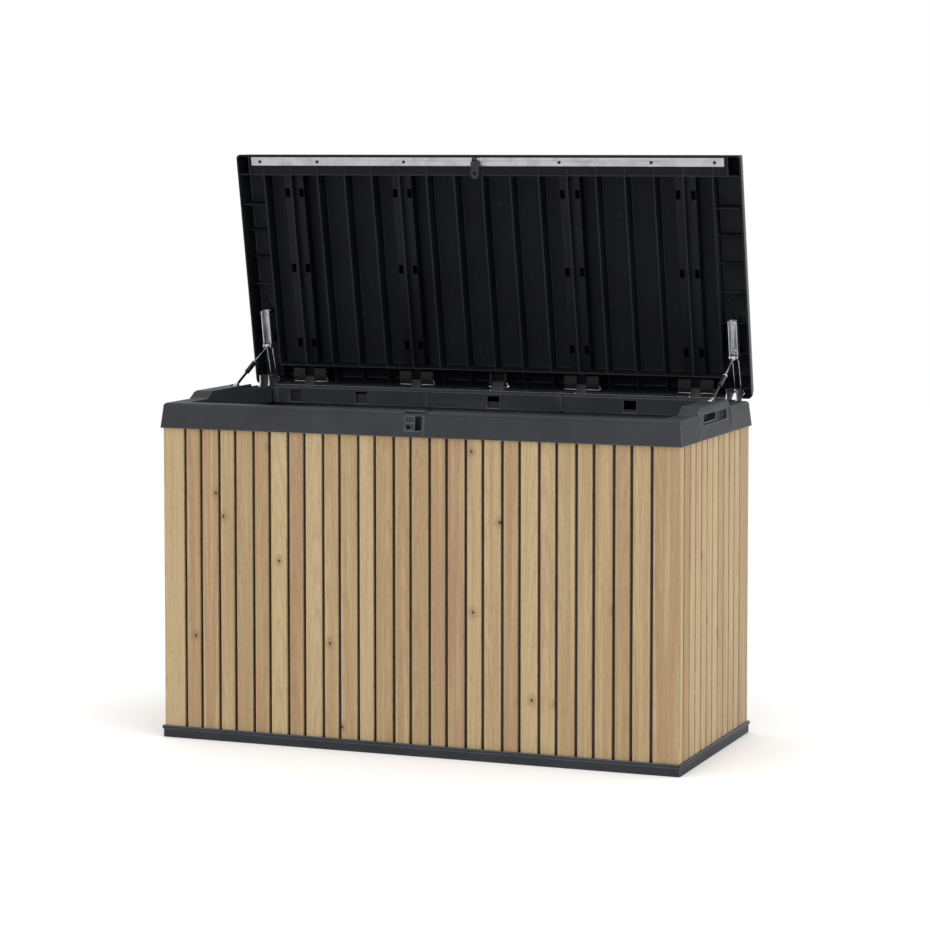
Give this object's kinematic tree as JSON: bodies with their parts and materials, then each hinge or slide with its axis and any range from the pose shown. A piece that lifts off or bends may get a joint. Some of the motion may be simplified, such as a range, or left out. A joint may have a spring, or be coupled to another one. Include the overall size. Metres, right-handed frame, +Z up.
{
  "type": "deck storage box",
  "caption": "Tall outdoor storage box with slatted wood-look walls on a resin base, a capping rim with hand grips and a ribbed lid on rear hinges, held open by telescopic stays.",
  "frame": {"origin": "centre of the underside of the base frame, on the ground", "axes": "+Z up, +Y towards the hinges at the back, +X to the right seen from the front"},
  "size_m": [1.3152, 0.5993, 1.4004],
  "materials": {
    "slate_resin": "matt moulded resin, fine texture",
    "black_resin": "satin moulded resin",
    "oak_slats": "wood-look resin with printed and embossed oak grain",
    "satin_aluminium": "satin extrusion, lengthwise grain",
    "zinc_steel": "zinc plated",
    "bright_steel": "bright nickel plated",
    "black_paint": "satin black enamel",
    "black_screws": "black phosphate"
  },
  "bodies": {
    "box": {"base_frame": "slate_resin", "floor_panel": "slate_resin", "front_panel": "black_resin", "rear_panel": "black_resin", "left_panel": "black_resin", "right_panel": "black_resin", "front_slats": "oak_slats", "rear_slats": "oak_slats", "left_slats": "oak_slats", "right_slats": "oak_slats", "rim_front_left": "slate_resin", "rim_front_right": "slate_resin", "rim_rear": "slate_resin", "rim_left": "slate_resin", "rim_right": "slate_resin", "strut_post_left": "black_paint", "strut_post_right": "black_paint", "strut_post_pins": "bright_steel", "hinge_tower_left": "slate_resin", "hinge_tower_right": "slate_resin", "tower_strap_left": "bright_steel", "tower_strap_right": "bright_steel", "tower_pins": "bright_steel", "hinge_post_1": "slate_resin", "hinge_post_2": "slate_resin", "hinge_post_3": "slate_resin", "hinge_post_4": "slate_resin", "center_hinge_post": "slate_resin", "rim_screws": "black_screws"},
    "lid": {"lid_shell": "black_resin", "lid_brace_1": "black_resin", "lid_brace_2": "black_resin", "lid_brace_3": "black_resin", "lid_brace_4": "black_resin", "hinge_leaf_1": "black_resin", "hinge_leaf_2": "black_resin", "hinge_leaf_3": "black_resin", "hinge_leaf_4": "black_resin", "center_hinge_leaf": "black_resin", "hinge_pin_1": "zinc_steel", "hinge_pin_2": "zinc_steel", "hinge_pin_3": "zinc_steel", "hinge_pin_4": "zinc_steel", "center_hinge_pin": "bright_steel", "latch_bar": "satin_aluminium", "latch_bar_screws": "black_screws", "hasp_bracket": "zinc_steel", "hasp_pin": "bright_steel", "stay_plate_left": "zinc_steel", "stay_plate_right": "zinc_steel", "stay_plate_screws": "bright_steel", "hinge_arm_left": "bright_steel", "hinge_arm_right": "bright_steel"},
    "hasp": {"hasp": "black_paint"},
    "strut_tube_left": {"strut_tube_left": "black_paint", "strut_cap_left": "bright_steel"},
    "strut_rod_left": {"strut_rod_left": "zinc_steel"},
    "strut_tube_right": {"strut_tube_right": "black_paint", "strut_cap_right": "bright_steel"},
    "strut_rod_right": {"strut_rod_right": "zinc_steel"}
  },
  "joints": [
    {"name": "lid_hinge", "type": "hinge", "parent": "box", "child": "lid", "pos_m": [0, 0.2857, 0.8304], "axis": [1, 0, 0], "range_deg": [0, 78.87]},
    {"name": "hasp_swing", "type": "hinge", "parent": "lid", "child": "hasp", "pos_m": [-0.012, 0.14876, 1.38918], "axis": [1, 0, 0], "range_deg": [-95, 5]},
    {"name": "strut_left_swing", "type": "hinge", "parent": "box", "child": "strut_tube_left", "pos_m": [-0.617, 0.055, 0.822], "axis": [1, 0, 0], "range_deg": [-31, 1]},
    {"name": "strut_left_slide", "type": "slide", "parent": "strut_tube_left", "child": "strut_rod_left", "axis": [0, 0.9054, 0.4245], "range_m": [-0.072, 0.001]},
    {"name": "strut_right_swing", "type": "hinge", "parent": "box", "child": "strut_tube_right", "pos_m": [0.617, 0.055, 0.822], "axis": [1, 0, 0], "range_deg": [-31, 1]},
    {"name": "strut_right_slide", "type": "slide", "parent": "strut_tube_right", "child": "strut_rod_right", "axis": [0, 0.9054, 0.4245], "range_m": [-0.072, 0.001]}
  ],
  "couplings": [
    {"joint": "hasp_swing", "follows": "lid_hinge", "ratio": -1},
    {"joint": "strut_left_swing", "follows": "lid_hinge", "ratio": -0.37942},
    {"joint": "strut_left_slide", "follows": "lid_hinge", "m_per_rad": -0.051377},
    {"joint": "strut_right_swing", "follows": "lid_hinge", "ratio": -0.37942},
    {"joint": "strut_right_slide", "follows": "lid_hinge", "m_per_rad": -0.051377}
  ]
}
